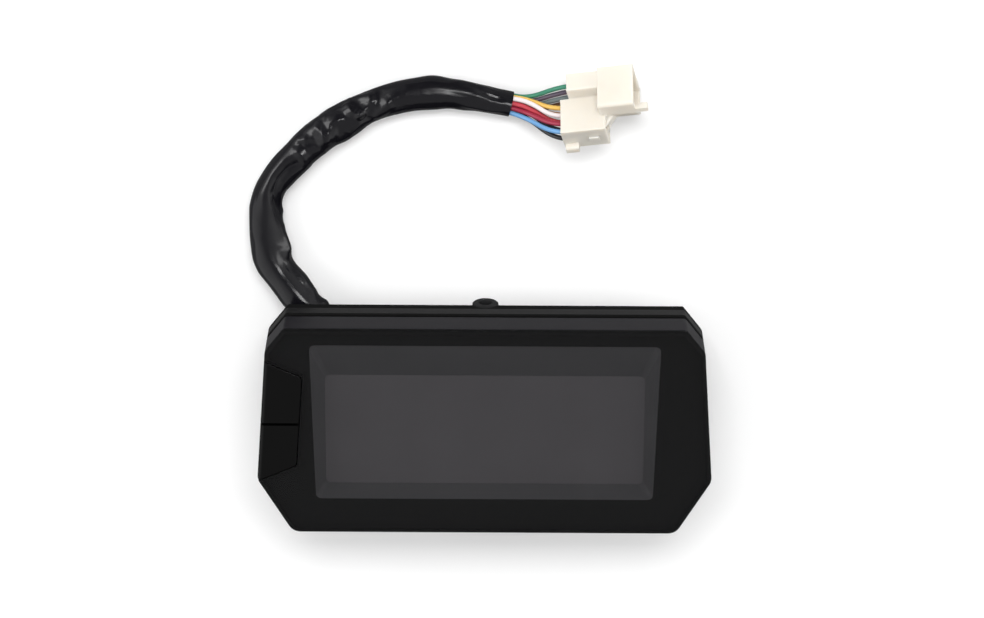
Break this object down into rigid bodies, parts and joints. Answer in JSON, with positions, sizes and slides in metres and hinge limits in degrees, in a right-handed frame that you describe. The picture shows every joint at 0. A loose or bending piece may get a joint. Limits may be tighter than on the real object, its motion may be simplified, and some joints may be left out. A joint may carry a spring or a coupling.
{
  "type": "motorcycle instrument cluster",
  "caption": "Flat motorcycle instrument cluster with a smoked full-face lens, keys down its left edge, a rear mounting tub and a sleeved harness ending in a connector.",
  "frame": {"origin": "under the middle of the case, on the plane of its rear face, on which it and its harness lie", "axes": "+X to the cluster's right and along its longest side, +Y to its top edge, +Z the way the face looks"},
  "size_m": [0.1696, 0.1702, 0.046],
  "materials": {
    "smoked_lens": "hard-coated smoked polycarbonate, polished",
    "lens_print": "matt black printed sheet",
    "cover_plastic": "fine satin grain, bluish black",
    "case_plastic": "fine satin grain, black",
    "bezel_plastic": "matt dark grey",
    "key_plastic": "polished black",
    "lcd_glass": "dark liquid crystal glass",
    "film": "polarizing film",
    "white_plastic": "matt white reflector",
    "led": "clear over yellow phosphor",
    "rubber": "matt black",
    "grey_rubber": "matt grey black",
    "board": "green solder mask",
    "chip": "matt moulding compound",
    "can": "bright can",
    "steel": "zinc plated",
    "brass": "turned",
    "sleeve": "thin glossy black PVC",
    "wire": "coloured PVC insulation",
    "nylon": "milky natural nylon",
    "terminal": "tinned brass"
  },
  "bodies": {
    "root": {"lens": "smoked_lens", "lens_mask": "lens_print", "front_cover": "cover_plastic", "display_bezel": "bezel_plastic", "lcd_panel": "lcd_glass", "polarizers": "film", "diffuser": "white_plastic", "backlight_box": "white_plastic", "backlight_leds": "led", "contact_strips": "rubber", "switch_bodies": "chip", "key_seals": "rubber", "circuit_board": "board", "microcontroller": "chip", "voltage_regulator": "chip", "capacitors": "can", "board_header": "white_plastic", "board_plug": "white_plastic", "inner_loom": "wire", "board_screws": "steel", "rear_case": "case_plastic", "case_seal": "rubber", "case_screws": "steel", "locating_grommet": "grey_rubber", "mount_inserts": "brass", "breather_cap": "case_plastic", "harness_grommet": "rubber", "harness_sleeve": "sleeve", "harness_wires": "wire", "connector_housing": "nylon", "connector_lock": "nylon", "connector_terminals": "terminal"},
    "button_upper": {"button_upper": "key_plastic", "plunger_upper": "chip"},
    "button_lower": {"button_lower": "key_plastic", "plunger_lower": "chip"}
  },
  "joints": [
    {"name": "button_upper_press", "type": "slide", "parent": "root", "child": "button_upper", "axis": [0, 0, -1], "range_m": [0, 0.001], "stiffness_N_per_m": 1500, "springref_m": -0.0006},
    {"name": "button_lower_press", "type": "slide", "parent": "root", "child": "button_lower", "axis": [0, 0, -1], "range_m": [0, 0.001], "stiffness_N_per_m": 1500, "springref_m": -0.0006}
  ]
}
